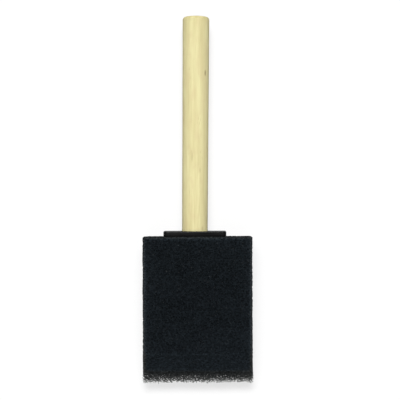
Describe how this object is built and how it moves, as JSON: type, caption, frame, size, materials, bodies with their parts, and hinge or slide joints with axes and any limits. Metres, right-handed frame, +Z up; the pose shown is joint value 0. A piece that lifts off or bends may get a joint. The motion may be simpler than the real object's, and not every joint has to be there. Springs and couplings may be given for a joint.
{
  "type": "foam sponge brush",
  "caption": "Foam sponge brush with a chisel-tipped black foam head, a moulded plastic insert with a thin collar, and a pale wooden dowel handle with a domed end.",
  "frame": {"origin": "middle of the box round the whole brush, at the level of the foam's back face, which it rests on", "axes": "+X to the right across the foam head, +Y along the handle towards its free end, +Z up through the foam's thickness, away from the face it rests on"},
  "size_m": [0.0508, 0.172, 0.022],
  "materials": {
    "dowel": "matte",
    "moulding": "satin",
    "foam": "matte",
    "glue": "satin"
  },
  "bodies": {
    "root": {"handle": "dowel", "insert": "moulding", "foam_head": "foam", "glue_front": "glue", "glue_back": "glue", "glue_socket": "glue"}
  },
  "joints": []
}
